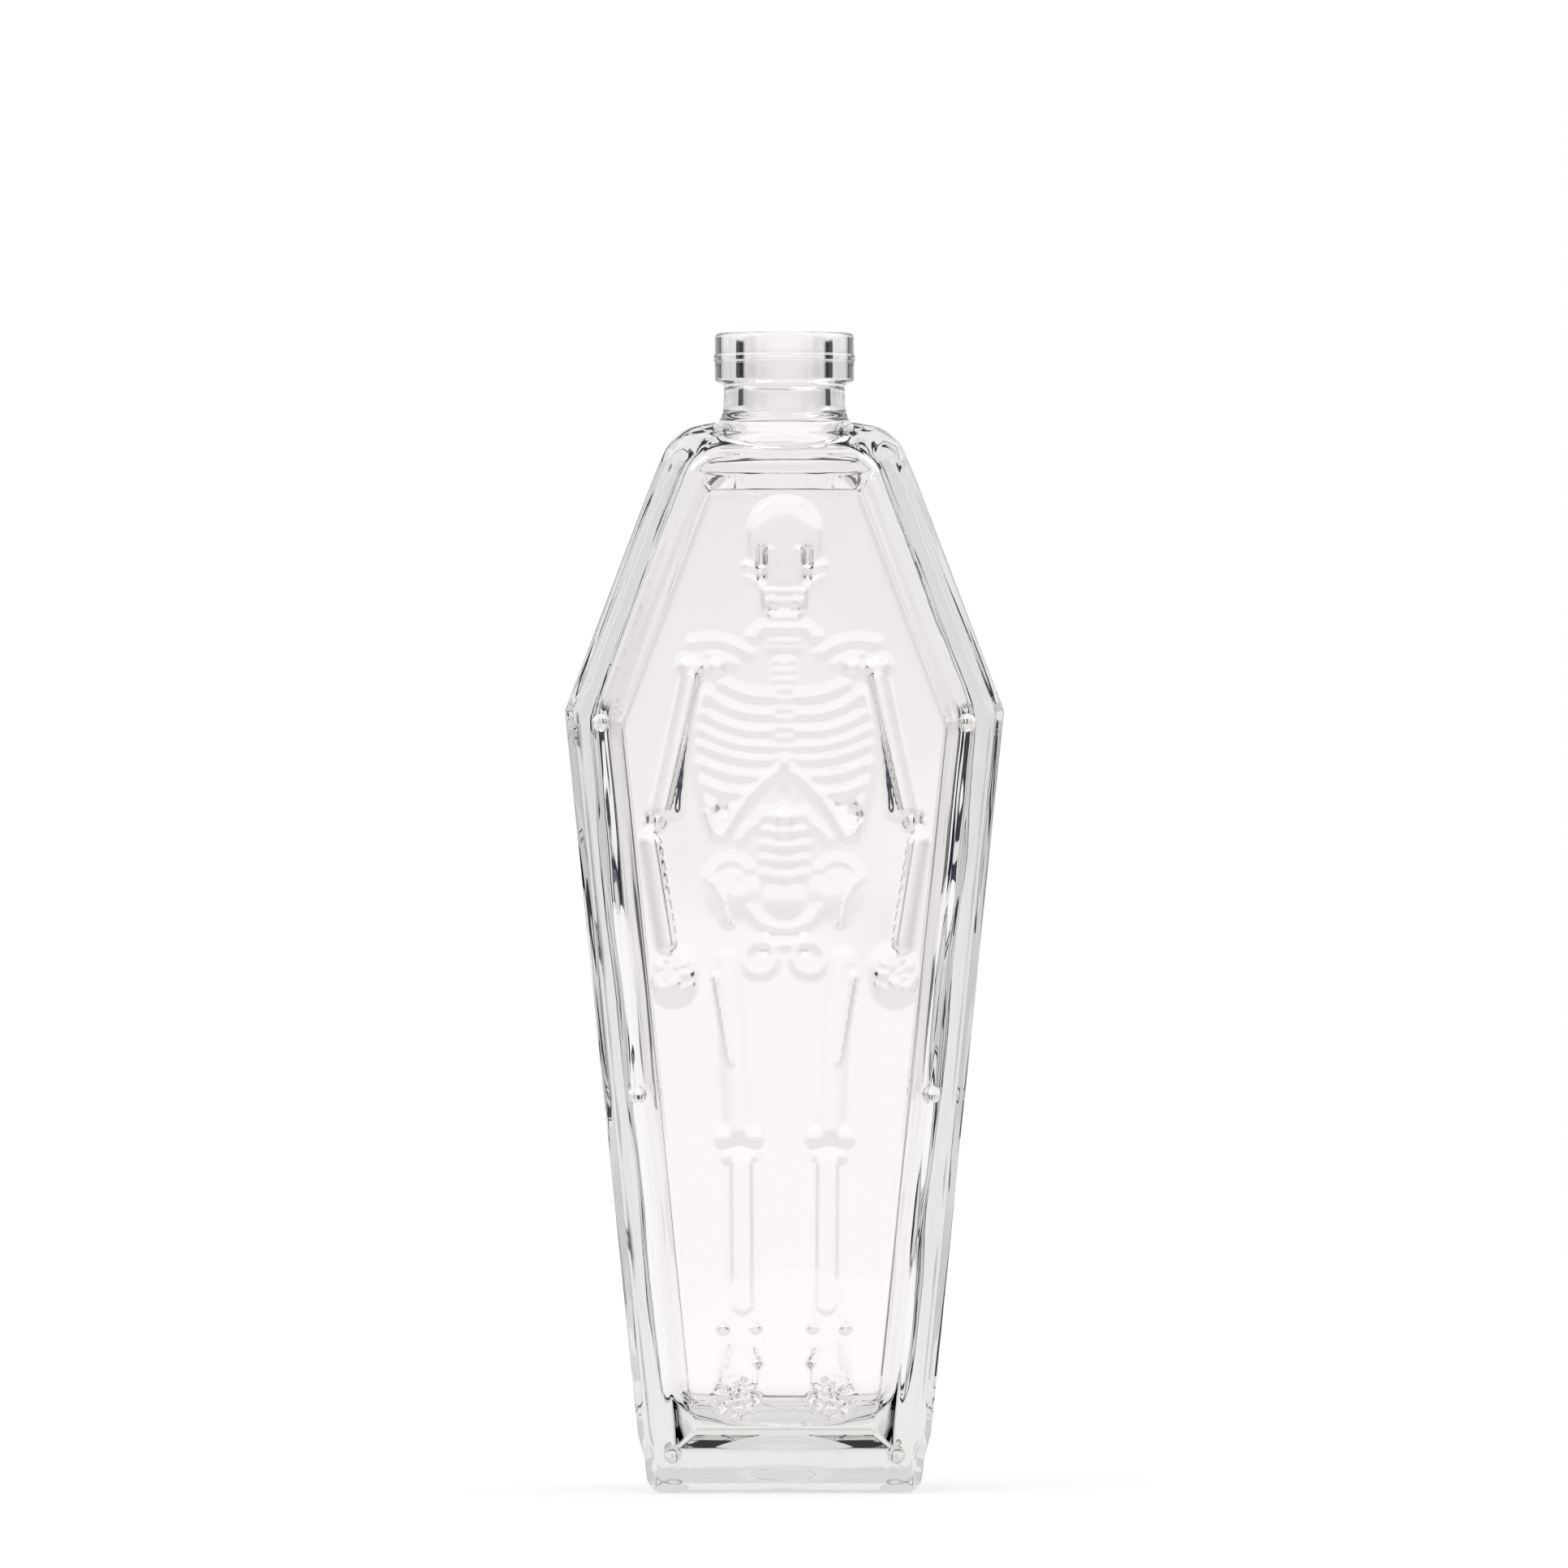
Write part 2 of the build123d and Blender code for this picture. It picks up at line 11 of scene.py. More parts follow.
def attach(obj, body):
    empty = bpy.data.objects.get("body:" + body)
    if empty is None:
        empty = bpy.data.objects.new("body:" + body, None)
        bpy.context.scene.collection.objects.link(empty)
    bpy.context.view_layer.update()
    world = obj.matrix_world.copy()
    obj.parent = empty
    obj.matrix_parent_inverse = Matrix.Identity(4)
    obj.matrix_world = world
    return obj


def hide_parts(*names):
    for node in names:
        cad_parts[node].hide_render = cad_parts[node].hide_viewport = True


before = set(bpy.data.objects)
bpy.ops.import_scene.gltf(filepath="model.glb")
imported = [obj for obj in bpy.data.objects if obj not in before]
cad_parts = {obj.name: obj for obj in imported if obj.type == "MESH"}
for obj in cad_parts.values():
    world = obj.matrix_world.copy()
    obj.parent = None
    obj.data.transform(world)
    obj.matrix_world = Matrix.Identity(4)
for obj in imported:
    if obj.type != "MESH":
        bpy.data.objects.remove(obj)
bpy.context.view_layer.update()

bl_info = {
    "name": "Coffin bottle",
    "version": (1, 0, 0),
    "blender": (4, 5, 0),
    "location": "View3D > Sidebar > Bottle",
    "description": "Builds a pressed-glass coffin bottle with a skeleton in relief",
    "category": "Add Mesh",
}

# One millimetre in the scene's metres. The glass is given in millimetres, its properties and the
# studio in metres.
MM = 0.001

# Coffin outline, seen from the front. Edges in order: top, upper right, lower right, bottom,
# lower left, upper left. Corners in order: top left, top right, widest right, and so on round.
BODY_HEIGHT = 236.0
SHOULDER_HALF = 24.2
WIDEST_HALF = 48.4
WIDEST_HEIGHT = 172.2
FOOT_HALF = 31.0
UPPER_LEAN = math.atan((WIDEST_HALF - SHOULDER_HALF) / (BODY_HEIGHT - WIDEST_HEIGHT))
LOWER_LEAN = math.atan((WIDEST_HALF - FOOT_HALF) / WIDEST_HEIGHT)

# Rings of the front half, from the recess floor out to the side of the body: depth in front of
# the middle, then how far the top, upper, lower and bottom edges lie inside the outline.
RECESS_RINGS = (
    (21.0, 15.75, 13.55, 12.95, 13.7),
    (21.03, 15.4, 13.15, 12.55, 13.3),
    (21.16, 15.1, 12.75, 12.15, 12.95),
    (21.42, 14.8, 12.3, 11.75, 12.65),
    (23.5, 12.05, 9.0, 8.6, 10.05),
    (23.76, 11.6, 8.5, 8.1, 9.6),
    (23.93, 11.1, 8.0, 7.6, 9.1),
    (24.0, 10.5, 7.4, 7.0, 8.6),
)
OUTER_RINGS = (
    (24.0, 9.2, 5.4, 5.2, 6.6),
    (24.0, 7.9, 2.6, 2.6, 5.1),
    (23.97, 6.9, 2.05, 2.05, 4.2),
    (23.8, 5.8, 1.72, 1.72, 3.1),
    (23.4, 4.6, 1.25, 1.25, 2.1),
    (22.8, 3.5, 0.62, 0.62, 1.35),
    (22.3, 2.9, 0.14, 0.14, 0.7),
    (22.05, 2.5, 0.03, 0.03, 0.4),
    (21.7, 2.1, 0.0, 0.0, 0.2),
    (20.6, 1.25, 0.0, 0.0, 0.05),
    (19.2, 0.5, 0.0, 0.0, 0.0),
    (17.6, 0.05, 0.0, 0.0, 0.0),
    (15.5, 0.0, 0.0, 0.0, 0.0),
    (13.5, 0.0, 0.0, 0.0, 0.0),
    (11.5, 0.0, 0.0, 0.0, 0.0),
    (9.5, 0.0, 0.0, 0.0, 0.0),
    (7.5, 0.0, 0.0, 0.0, 0.0),
    (5.0, 0.0, 0.0, 0.0, 0.0),
    (2.5, 0.0, 0.0, 0.0, 0.0),
)

# The back's floor, which one flat face closes.
BACK_FLOOR_RING = (21.0, 17.0, 14.9, 14.3, 14.9)
# A ring whose top edge lies further in than this belongs to the recess.
RECESS_INSET = 9.5

# Depth of the flat rails, the height of the faint waves in them, and how close these lie across,
# from front to back and along.
RAIL_DEPTH = 24.0
RAIL_WAVE = 0.15
RAIL_WAVE_SCALE = (0.8, 4, 0.045)

# Radius of the outline's corners: in the recess, and how much it grows out to the sides. It starts
# to grow where the top edge lies this far in.
SHOULDER_CORNER = (1.2, 6.3)
BASE_CORNER = (0.6, 3.4)
WIDEST_CORNER = 0.8
CORNER_GROWTH_INSET = 9.0

# Where the vertices of a coarse ring lie along an edge, as distances from the nearer corner, and
# how far apart they are between the corners.
CORNER_STEPS = (0.0, 0.7, 1.4, 2.2, 3.0, 4.0, 5.2, 6.5, 8.0, 10.0, 12.3)
COARSE_STEP = 4.0

# The heel: the sides slope in below its top, and taper a little more down to the base. Nearer to
# the middle than its half-width it pulls in less.
HEEL_TOP = 12.3
HEEL_RUN = 4.3
HEEL_SLOPE = 0.95
TAPER_TOP = 8.0
TAPER = 0.15
HEEL_HALF = 25.0

# The shoulder's top slopes down outside the neck's foot: how far, from where, and over what width.
# The slope fades out from the top down.
SHOULDER_DROP = 1.5
SLOPE_START = 14.5
SLOPE_WIDTH = 9.5
SLOPE_LOW = 224.0
SLOPE_HEIGHT = 12.0

# The domed underside: half-width, half-depth and rise.
PUSH_UP_HALF = 25.0
PUSH_UP_HALF_DEPTH = 16.5
PUSH_UP_RISE = 5.5

# Distances below which vertices count as one: slivers of a ring, doubles, and slivers at the
# floor's border as a share of the grid's pitch. Gaps that differ by less than a tie are the same.
SLIVER = 0.01
DOUBLE = 0.0005
BORDER_SLIVER = 0.45
TIE = 1e-6

# The place in OUTER_RINGS of the ring whose edges give a coarse ring its lengths.
MEASURED_RING = 3

# Neck and ring finish: radius and height of the outside.
NECK_OUTSIDE = (
    (0.0, 231.0),
    (16.6, 231.0),
    (16.6, 235.2),
    (15.9, 235.5),
    (15.2, 235.9),
    (14.65, 236.4),
    (14.2, 237.1),
    (13.85, 238.0),
    (13.6, 239.1),
    (13.47, 240.3),
    (13.45, 241.2),
    (13.45, 244.1),
    (13.52, 244.4),
    (13.75, 244.68),
    (14.1, 244.85),
    (15.05, 245.25),
    (15.32, 245.45),
    (15.46, 245.75),
    (15.5, 246.1),
    (15.5, 246.4),
    (15.5, 249.3),
    (15.5, 249.5),
    (15.56, 249.68),
    (15.68, 249.85),
    (15.7, 250.05),
    (15.7, 250.75),
    (15.68, 250.95),
    (15.56, 251.12),
    (15.5, 251.3),
    (15.5, 251.5),
    (15.5, 254.6),
    (15.48, 254.95),
    (15.38, 255.4),
    (15.12, 255.78),
    (14.7, 256.0),
    (0.0, 256.0),
)

# Nail heads: where they lie across and in height, their radius, and the depth of their centres.
STUD_PLACES = ((40.3, 169.6), (32.4, 87.7), (24.6, 8.5))
STUD_RADIUS = 2.08
STUD_CENTRE_DEPTH = 23.4

# The dot on the neck's front, a ball of radius 1: its place, and how deep it is against its width.
DOT_PLACE = (0, -13.3, 242.3)
DOT_DEPTH = 0.8

# Steps round the neck, and round a nail head and the dot with their steps from pole to pole.
NECK_STEPS = 96
STUD_STEPS = (24, 14)
DOT_STEPS = (20, 12)

# Edges that turn more than this are shaded sharp.
SHARP_ANGLE = math.radians(38)


def upper_half(height, inset):
    """Half-width at a height on a line parallel to the slanted upper sides."""
    return WIDEST_HALF - (height - WIDEST_HEIGHT) * math.tan(UPPER_LEAN) - inset / math.cos(UPPER_LEAN)


def lower_half(height, inset):
    """Half-width at a height on a line parallel to the tapered lower sides."""
    return WIDEST_HALF - (WIDEST_HEIGHT - height) * math.tan(LOWER_LEAN) - inset / math.cos(LOWER_LEAN)


def outline_corners(ring):
    """The six corners of the coffin outline whose edges are moved in by a ring's insets."""
    _, top, upper, lower, bottom = ring
    top_height = BODY_HEIGHT - top
    gap = lower / math.cos(LOWER_LEAN) - upper / math.cos(UPPER_LEAN)
    widest = WIDEST_HEIGHT + gap / (math.tan(UPPER_LEAN) + math.tan(LOWER_LEAN))
    right = [
        Vector((upper_half(top_height, upper), top_height)),
        Vector((upper_half(widest, upper), widest)),
        Vector((lower_half(bottom, lower), bottom)),
    ]
    left = [Vector((-corner.x, corner.y)) for corner in reversed(right)]
    return [left[2], right[0], right[1], right[2], left[0], left[1]]


def corner_radius(ring, corner):
    """How round a ring's corner is: the recess is nearly sharp, the body's ends are rounded."""
    outward = max(0.0, 1.0 - ring[1] / CORNER_GROWTH_INSET)
    if corner in (0, 1):
        return SHOULDER_CORNER[0] + SHOULDER_CORNER[1] * outward
    if corner in (3, 4):
        return BASE_CORNER[0] + BASE_CORNER[1] * outward
    return WIDEST_CORNER


def on_outline(ring, edge, share):
    """The point at a share of one edge of a ring's outline, with the corner rounded off."""
    corners = outline_corners(ring)
    start = corners[edge]
    end = corners[(edge + 1) % 6]
    length = (end - start).length
    index, away = (edge, share * length) if share < 0.5 else ((edge + 1) % 6, (1 - share) * length)
    corner = corners[index]
    before = (corners[index - 1] - corner).normalized()
    after = (corners[(index + 1) % 6] - corner).normalized()
    turn = math.pi - before.angle(after)
    radius = corner_radius(ring, index)
    tangent = radius * math.tan(turn / 2)
    if away >= tangent:
        return start.lerp(end, share)
    middle = corner + (before + after).normalized() * (radius / math.cos(turn / 2))
    side = after if index == edge else before
    foot = corner + side * tangent
    angle = turn / 2 * (1 - away / tangent)
    spoke = foot - middle
    towards = (corner - middle).normalized()
    across = (spoke.normalized() * math.cos(angle)) + (
        (towards - spoke.normalized() * towards.dot(spoke.normalized())).normalized() * math.sin(angle)
    )
    return middle + across * radius


def coarse_share(edge, share, length):
    """The share moved to the nearest of the few places that a coarse ring keeps."""
    away = min(share, 1 - share) * length
    if away <= CORNER_STEPS[-1] + 1:
        kept = min(CORNER_STEPS, key=lambda step: abs(step - away))
    else:
        span = length - 2 * CORNER_STEPS[-1]
        count = max(1, round(span / COARSE_STEP))
        step = span / count
        kept = CORNER_STEPS[-1] + round((away - CORNER_STEPS[-1]) / step) * step
    share_kept = kept / length
    return share_kept if share < 0.5 else 1 - share_kept


def heel_pull(across, height):
    """How far the sides slope in near the base."""
    if height > HEEL_TOP:
        return across
    slope = HEEL_SLOPE * min(1.0, (HEEL_TOP - height) / HEEL_RUN)
    pull = slope + TAPER * max(0.0, (TAPER_TOP - height) / TAPER_TOP)
    return across - math.copysign(pull, across) * min(1.0, abs(across) / HEEL_HALF)


def shoulder_fall(across, height):
    """How far the shoulder's top has sloped down from the neck's foot at a place."""
    outward = max(0.0, abs(across) - SLOPE_START) / SLOPE_WIDTH
    upward = max(0.0, min(1.0, (height - SLOPE_LOW) / SLOPE_HEIGHT))
    return SHOULDER_DROP * min(1.0, outward) * upward


def push_up(across, depth):
    """Rise of the base's domed underside at a place."""
    away = (across / PUSH_UP_HALF) ** 2 + (depth / PUSH_UP_HALF_DEPTH) ** 2
    return PUSH_UP_RISE * max(0.0, 1.0 - away)


def wave_at(place, scale, shift=(0, 0, 0)):
    """A smooth wave from -1 to 1 at a place, with its scale and shift along each axis."""
    return noise.noise(Vector([value * near + move for value, near, move in zip(place, scale, shift)]))


def rail_depth(depth, across, front, height):
    """A ring's depth, with the faint waves that fire-polishing leaves in the flat rails."""
    if depth < RAIL_DEPTH:
        return depth
    return depth - RAIL_WAVE * (0.5 + wave_at((across, front, height), RAIL_WAVE_SCALE))


def set_ring(verts, edge_layer, share_layer, ring, front):
    """Moves a ring's vertices to their places on its outline and depth."""
    for vert in verts:
        point = on_outline(ring, vert[edge_layer], vert[share_layer])
        across = point.x
        height = point.y
        if ring[1] < RECESS_INSET:
            across = heel_pull(across, height)
            height -= shoulder_fall(across, height)
        if vert[edge_layer] == 3 and ring[4] == 0.0:
            height += push_up(across, ring[0])
        vert.co = Vector((across, -front * rail_depth(ring[0], across, front, height), height))


def extruded_ring(bm, loop_edges):
    """Extrudes a ring's edges in place and gives the new vertices and edges."""
    grown = bmesh.ops.extrude_edge_only(bm, edges=loop_edges)["geom"]
    verts = [item for item in grown if isinstance(item, bmesh.types.BMVert)]
    edges = [item for item in grown if isinstance(item, bmesh.types.BMEdge)]
    return verts, edges


# Bones whose height is read from the frame's solids.
BONE_NAMES = ("breastbone", "neck_bones", "loin_bones", "pelvis", "collar", "rib_cage", "upper_arm")


def relief_tree():
    """A search tree over the relief bones of the frame."""
    points = []
    faces = []
    for name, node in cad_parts.items():
        if not name.startswith(BONE_NAMES):
            continue
        base = len(points)
        points += [vert.co.copy() for vert in node.data.vertices]
        faces += [[base + index for index in polygon.vertices] for polygon in node.data.polygons]
    return BVHTree.FromPolygons(points, faces)


# Bones that are sculpted on the right and repeated on the left: the two ends of a line as across
# and height, its reach inwards and outwards, how high it stands, and how square its sides are.
RIDGES = (
    # cranium, face, brow and cheekbones
    (0.0, 211.2, 0.0, 209.0, 8.4, 8.4, 1.4, 5),
    (0.0, 206.0, 0.0, 202.5, 6.6, 6.6, 1.3, 2),
    (3.2, 207.6, 3.6, 207.6, 1.2, 1.2, 2.3, 2),
    (6.9, 203.8, 7.9, 204.1, 1.2, 1.4, 1.1, 2),
    (6.3, 200.6, 8.2, 201.8, 0.6, 0.6, 0.8, 2),
    # teeth, jaw and neck
    (0.0, 198.5, 3.2, 198.5, 0.8, 0.8, 2.1, 2),
    (0.0, 196.6, 3.2, 196.6, 0.8, 0.8, 2.1, 2),
    (4.3, 198.8, 4.0, 194.6, 0.9, 0.9, 1.3, 2),
    (0.0, 192.9, 2.6, 193.2, 1.2, 1.2, 1.4, 2),
    (0.0, 190.4, 2.9, 190.4, 1.1, 1.1, 1.2, 2),
    (5.0, 190.6, 6.4, 188.0, 0.9, 0.9, 0.8, 2),
    # upper arm, elbow and forearm
    (19.9, 179.5, 26.2, 150.6, 1.3, 3.0, 2.7, 2),
    (28.4, 148.0, 28.4, 148.0, 2.3, 2.3, 2.3, 2),
    (28.7, 143.4, 25.1, 120.8, 1.35, 3.2, 2.6, 2),
    # thigh, shin, ankle and foot
    (12.4, 117.0, 10.2, 80.0, 3.2, 3.2, 1.0, 2),
    (15.3, 113.5, 12.1, 94.5, 1.4, 0.6, 1.4, 2),
    (7.2, 78.3, 7.4, 78.5, 2.6, 2.6, 0.8, 2),
    (12.7, 78.4, 12.9, 78.2, 2.6, 2.6, 0.8, 2),
    (7.9, 74.0, 12.1, 74.0, 1.8, 1.8, 0.6, 2),
    (9.5, 72.0, 9.3, 41.0, 2.5, 2.5, 1.1, 6),
    (9.4, 38.5, 9.4, 29.0, 3.3, 3.3, 0.9, 3),
    (9.7, 28.5, 10.8, 20.8, 4.3, 4.5, 1.4, 6),
    (12.2, 32.0, 14.0, 24.5, 1.4, 0.4, 2.0, 2),
    (6.5, 31.0, 6.3, 24.0, 0.4, 1.4, 2.0, 2),
    (6.3, 28.8, 6.3, 28.8, 1.4, 1.4, 2.2, 2),
    (6.4, 36.5, 6.4, 36.5, 1.3, 1.3, 1.6, 2),
    (13.4, 36.5, 13.4, 36.5, 1.4, 1.4, 1.6, 2),
    # hand
    (24.0, 115.6, 24.4, 112.2, 5.4, 5.4, 1.2, 2),
    # edges of the hips and of the lowest ribs
    (15.8, 134.6, 13.4, 130.4, 0.7, 0.7, 0.9, 3),
    (13.4, 130.4, 12.2, 125.1, 0.7, 0.7, 0.9, 3),
    (17.2, 149.8, 15.3, 144.7, 0.7, 0.7, 1.0, 3),
    (13.8, 144.2, 8.9, 151.9, 0.7, 0.7, 1.0, 3),
)
# Hollows, in the same way, with their depth for the height.
HOLLOWS = (
    (5.1, 207.7, 5.1, 204.6, 1.25, 1.25, 2.6, 2),
    (5.0, 202.4, 5.0, 201.2, 1.0, 1.0, 2.0, 2),
    (2.4, 194.4, 1.9, 193.4, 0.7, 0.7, 1.5, 2),
    (0.0, 122.4, 2.4, 122.7, 0.9, 0.9, 1.3, 2),
    (2.4, 122.7, 4.1, 123.6, 0.7, 0.7, 0.8, 2),
    (4.4, 119.6, 4.4, 119.0, 0.8, 0.8, 1.4, 2),
    (29.4, 148.8, 29.4, 147.4, 1.1, 1.1, 2.4, 2),
)
# Hollows that only one side has, with their place across counted to the right.
LONE_HOLLOWS = (
    (13.4, 151.2, 15.2, 149.2, 2.3, 2.3, 2.7, 2),
    (-13.8, 150.7, -13.8, 150.3, 1.4, 1.4, 2.2, 2),
)
# Small knuckles: the middle of the area as across and height, its reach, and one's size and rise.
KNUCKLES = ((10.7, 20.6, 5.5, 5.4, 1.7, 1.5), (24.3, 113.6, 4.8, 6.1, 2.6, 0.5))
# How steeply the knuckles start at the area's edge and at the gaps between them, and the slice of
# the cell pattern that they follow.
AREA_EDGE = 3.0
KNUCKLE_EDGE = 1.8
KNUCKLE_SLICE = 3.0
# Below the ribs the pressed figure has this share of the solids' height. It grows to the full
# height from here up, over this height.
LOW_RELIEF = 0.42
LOW_RELIEF_TOP = 138.0
LOW_RELIEF_RUN = 14.0
# Each round of softening keeps this share of a place's own height.
KEPT_SHARE = 0.4
# Depth in front of the bottle from which the bones are looked for.
LOOK_DEPTH = 40


def line_share(point, line):
    """How much of a sculpted line's height a point gets, from 0 outside it to 1 on its middle."""
    start, end = Vector(line[0:2]), Vector(line[2:4])
    along = end - start
    place = 0.0
    if along.length_squared > 0:
        place = max(0.0, min(1.0, (point - start).dot(along) / along.length_squared))
    away = point - (start + along * place)
    reach = away.length / (line[4] if away.x < 0 else line[5])
    return max(0.0, 1.0 - reach ** line[7])


def knuckles(across, height):
    """The height of the small bones of a hand or a foot at a place."""
    for middle, middle_height, half, half_height, size, rise in KNUCKLES:
        away = ((abs(across) - middle) / half) ** 2 + ((height - middle_height) / half_height) ** 2
        if away < 1.0:
            gaps = noise.voronoi(Vector((abs(across) / size, height / size, KNUCKLE_SLICE)))[0]
            share = min(1.0, AREA_EDGE * (1.0 - away)) * min(1.0, KNUCKLE_EDGE * (gaps[1] - gaps[0]))
            return share * rise
    return 0.0


def sculpted(across, height, raised):
    """The relief's height at a place, from the height that the solids give it."""
    point = Vector((abs(across), height))
    upward = max(0.0, min(1.0, (height - LOW_RELIEF_TOP) / LOW_RELIEF_RUN))
    raised *= LOW_RELIEF + (1.0 - LOW_RELIEF) * upward
    raised = max([raised] + [line[6] * line_share(point, line) for line in RIDGES])
    raised += knuckles(across, height)
    raised -= sum(line[6] * line_share(point, line) for line in HOLLOWS)
    return raised - sum(line[6] * line_share(Vector((across, height)), line) for line in LONE_HOLLOWS)


def relief_heights(verts, floor_depth):
    """How far the bones stand above the floor at each vertex, in millimetres."""
    tree = relief_tree()
    heights = {}
    for vert in verts:
        start = Vector((vert.co.x * MM, -LOOK_DEPTH * MM, vert.co.z * MM))
        hit = tree.ray_cast(start, Vector((0, 1, 0)))[0]
        heights[vert] = max(0.0, -hit.y / MM - floor_depth) if hit else 0.0
    return heights


def soften(heights, inner, rounds):
    """Smooths the relief's heights over neighbouring vertices."""
    for _ in range(rounds):
        softened = {}
        for vert in inner:
            near = [heights[edge.other_vert(vert)] for edge in vert.link_edges]
            softened[vert] = heights[vert] * KEPT_SHARE + (1 - KEPT_SHARE) * sum(near) / len(near)
        heights.update(softened)


def border_verts(bm):
    """The vertices on the open border, always in the same order, since merging depends on it."""
    return [vert for vert in bm.verts if vert.is_boundary]


def border_edges(bm):
    """The edges on the open border."""
    return [edge for edge in bm.edges if edge.is_boundary]


def floor_grid(bm, pitch):
    """The recess floor as a fine grid, cut to the coffin outline."""
    first = RECESS_RINGS[0]
    corners = outline_corners(first)
    half = corners[2].x + pitch
    low = corners[3].y
    high = corners[0].y
    middle = (low + high) / 2
    half_height = (high - low) / 2 + pitch
    upright = Matrix.Translation((0, -first[0], middle)) @ Matrix.Rotation(math.pi / 2, 4, "X")
    bmesh.ops.create_grid(
        bm,
        x_segments=round(2 * half / pitch),
        y_segments=round(2 * half_height / pitch),
        size=1,
        matrix=upright @ Matrix.Diagonal((half, half_height, 1, 1)),
    )
    centre = Vector((0, WIDEST_HEIGHT))
    for index, corner in enumerate(corners):
        along = corners[(index + 1) % 6] - corner
        outward = Vector((-along.y, along.x)).normalized()
        if outward.dot(corner - centre) < 0:
            outward = -outward
        bmesh.ops.bisect_plane(
            bm,
            geom=bm.verts[:] + bm.edges[:] + bm.faces[:],
            plane_co=(corner.x, -first[0], corner.y),
            plane_no=(outward.x, 0, outward.y),
            clear_outer=True,
        )
    # The cuts leave slivers along the outline, which would spoil its shading.
    bmesh.ops.remove_doubles(bm, verts=border_verts(bm), dist=BORDER_SLIVER * pitch)


def mark_ring(bm, edge_layer, share_layer):
    """Records on each boundary vertex its edge of the outline and its share along it."""
    corners = outline_corners(RECESS_RINGS[0])
    for vert in border_verts(bm):
        point = Vector((vert.co.x, vert.co.z))
        best = None
        for index, corner in enumerate(corners):
            along = corners[(index + 1) % 6] - corner
            share = max(0.0, min(1.0, (point - corner).dot(along) / along.length_squared))
            gap = (corner + along * share - point).length
            if best is None or gap < best[0] - TIE:
                best = (gap, index, share)
        vert[edge_layer] = best[1]
        vert[share_layer] = best[2]


def raise_relief(bm, sizes):
    """Raises the skeleton out of the floor and softens it as a mould does."""
    heights = relief_heights(bm.verts, RECESS_RINGS[0][0])
    inner = [vert for vert in bm.verts if not vert.is_boundary]
    soften(heights, inner, sizes.softening)
    for vert in inner:
        heights[vert] = sculpted(vert.co.x, vert.co.z, heights[vert])
    soften(heights, inner, 1)
    for vert in inner:
        vert.co.y -= heights[vert] * sizes.relief_share


def body_mesh(sizes):
    """The outside of the body: floor, recess, rails, sides, shoulder and base, front and back."""
    bm = bmesh.new()
    edge_layer = bm.verts.layers.int.new("edge")
    share_layer = bm.verts.layers.float.new("share")
    floor_grid(bm, sizes.grid_pitch / MM)
    mark_ring(bm, edge_layer, share_layer)
    raise_relief(bm, sizes)
    set_ring(border_verts(bm), edge_layer, share_layer, RECESS_RINGS[0], 1)
    loop = border_edges(bm)
    for ring in RECESS_RINGS[1:]:
        verts, loop = extruded_ring(bm, loop)
        set_ring(verts, edge_layer, share_layer, ring, 1)
    verts, loop = extruded_ring(bm, loop)
    corners = outline_corners(OUTER_RINGS[MEASURED_RING])
    for vert in verts:
        edge = vert[edge_layer]
        length = (corners[(edge + 1) % 6] - corners[edge]).length
        vert[share_layer] = coarse_share(edge, vert[share_layer], length)
    set_ring(verts, edge_layer, share_layer, OUTER_RINGS[0], 1)
    bmesh.ops.remove_doubles(bm, verts=verts, dist=SLIVER)
    loop = border_edges(bm)
    for ring in OUTER_RINGS[1:]:
        verts, loop = extruded_ring(bm, loop)
        set_ring(verts, edge_layer, share_layer, ring, 1)
    for ring in reversed(OUTER_RINGS):
        verts, loop = extruded_ring(bm, loop)
        set_ring(verts, edge_layer, share_layer, ring, -1)
    for ring in reversed(RECESS_RINGS):
        verts, loop = extruded_ring(bm, loop)
        set_ring(verts, edge_layer, share_layer, ring, -1)
    verts, loop = extruded_ring(bm, loop)
    set_ring(verts, edge_layer, share_layer, BACK_FLOOR_RING, -1)
    bmesh.ops.contextual_create(bm, geom=loop)
    bmesh.ops.remove_doubles(bm, verts=bm.verts, dist=DOUBLE)
    bmesh.ops.recalc_face_normals(bm, faces=bm.faces)
    return bm


# Half-depth of the cavity, and how softly its widest corners turn.
CAVITY_HALF_DEPTH = 16.9
WIDEST_SOFTNESS = 0.9


def cavity_section(height, sizes):
    """Half-widths of the cavity, left and right, and its half-depth, at a height."""
    halves = []
    for wall in (sizes.left_wall / MM, sizes.right_wall / MM):
        upper = upper_half(height, wall)
        lower = lower_half(height, wall)
        both = math.exp(-upper / WIDEST_SOFTNESS) + math.exp(-lower / WIDEST_SOFTNESS)
        halves.append(-WIDEST_SOFTNESS * math.log(both))
    return halves[0], halves[1], CAVITY_HALF_DEPTH


# Rings of the cavity from the bottom up: height, and how far its walls pull in.
CAVITY_BOTTOM = (
    (14.3, 12.5), (14.45, 9.5), (15.0, 6.4), (16.1, 3.8), (17.8, 1.8), (19.9, 0.6), (22.4, 0.08)
)
CAVITY_TOP = (
    (225.0, 0.0), (226.6, 0.1), (227.9, 0.4), (228.9, 0.95), (229.6, 1.7), (230.0, 2.5), (230.2, 3.4)
)
# The ceiling and the throat up to the bore: height, radius, and how far the section has turned
# from the body's rounded rectangle to a circle.
THROAT = (
    (230.7, 15.9, 0.15),
    (231.3, 15.5, 0.35),
    (231.9, 15.0, 0.55),
    (232.6, 14.4, 0.75),
    (233.3, 13.8, 0.9),
    (234.1, 13.1, 1.0),
    (235.0, 12.4, 1.0),
    (235.9, 11.7, 1.0),
)
